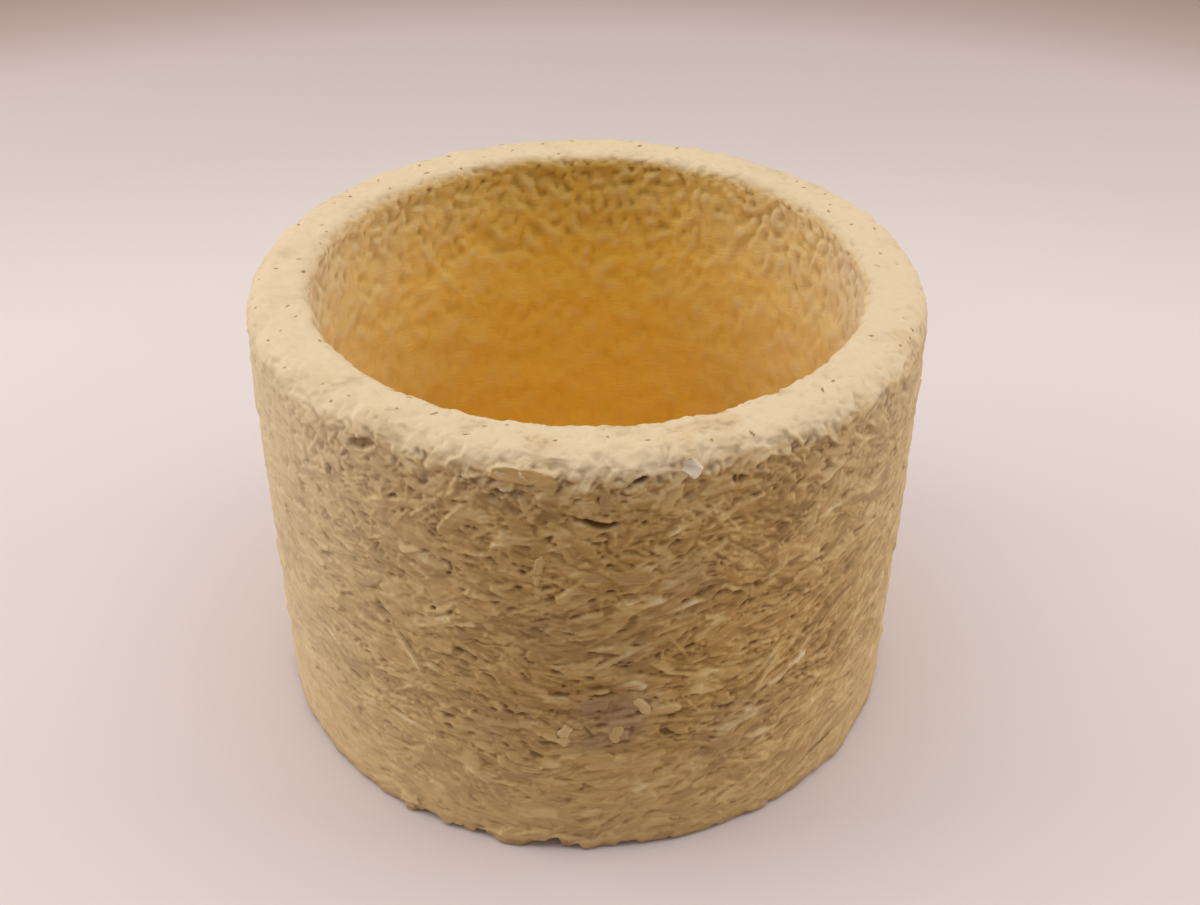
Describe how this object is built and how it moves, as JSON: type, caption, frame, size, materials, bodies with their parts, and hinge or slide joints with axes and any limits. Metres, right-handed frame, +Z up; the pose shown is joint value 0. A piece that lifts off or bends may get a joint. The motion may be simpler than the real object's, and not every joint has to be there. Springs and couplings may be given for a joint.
{
  "type": "flower pot",
  "caption": "Squat round flower pot with a thick wall, rounded rim and flat foot, grown from hemp chips bound by mycelium, with the larger chips bedded in its face.",
  "frame": {"origin": "middle of the flat foot, on the surface that the pot stands on", "axes": "+Z up along the pot's axis towards the mouth, -Y towards the front that the picture shows"},
  "size_m": [0.1212, 0.1215, 0.084],
  "materials": {
    "mycelium_skin": "matte mycelium skin over pressed hemp chips",
    "hemp_chip": "matte bare hemp chip",
    "pale_hemp_chip": "matte pale hemp chip"
  },
  "bodies": {
    "root": {"pot_body": "mycelium_skin", "pale_rim_chip": "pale_hemp_chip", "facet_rim_chip": "hemp_chip", "upright_rim_chip": "hemp_chip", "upright_front_chip": "hemp_chip", "broad_front_chip": "hemp_chip", "slanted_left_chip": "hemp_chip", "slanted_right_chip": "hemp_chip", "broad_cluster_chip": "hemp_chip", "hooked_cluster_chip": "hemp_chip", "small_cluster_chip": "hemp_chip", "upright_cluster_chip": "hemp_chip", "long_low_chip": "hemp_chip", "low_left_chip": "hemp_chip", "low_right_chip": "hemp_chip", "foot_lip_chip": "hemp_chip", "foot_left_chip": "hemp_chip", "wall_chip_01": "hemp_chip", "wall_chip_02": "hemp_chip", "wall_chip_03": "hemp_chip", "wall_chip_04": "hemp_chip", "wall_chip_05": "hemp_chip", "wall_chip_06": "hemp_chip", "wall_chip_07": "hemp_chip", "wall_chip_08": "hemp_chip", "wall_chip_09": "hemp_chip", "wall_chip_10": "hemp_chip", "wall_chip_11": "hemp_chip", "wall_chip_12": "hemp_chip", "wall_chip_13": "hemp_chip", "wall_chip_14": "hemp_chip", "wall_chip_15": "hemp_chip", "wall_chip_16": "hemp_chip", "wall_chip_17": "hemp_chip", "wall_chip_18": "hemp_chip", "wall_chip_19": "hemp_chip", "wall_chip_20": "hemp_chip", "wall_chip_21": "hemp_chip", "wall_chip_22": "hemp_chip", "wall_chip_23": "hemp_chip", "wall_chip_24": "hemp_chip", "wall_chip_25": "hemp_chip", "wall_chip_26": "hemp_chip", "wall_chip_27": "hemp_chip", "wall_chip_28": "hemp_chip", "wall_chip_29": "hemp_chip", "wall_chip_30": "hemp_chip", "wall_chip_31": "hemp_chip", "wall_chip_32": "hemp_chip", "wall_chip_33": "hemp_chip", "wall_chip_34": "hemp_chip", "wall_chip_35": "hemp_chip", "wall_chip_36": "hemp_chip", "wall_chip_37": "hemp_chip", "wall_chip_38": "hemp_chip", "wall_chip_39": "hemp_chip", "wall_chip_40": "hemp_chip"}
  },
  "joints": []
}
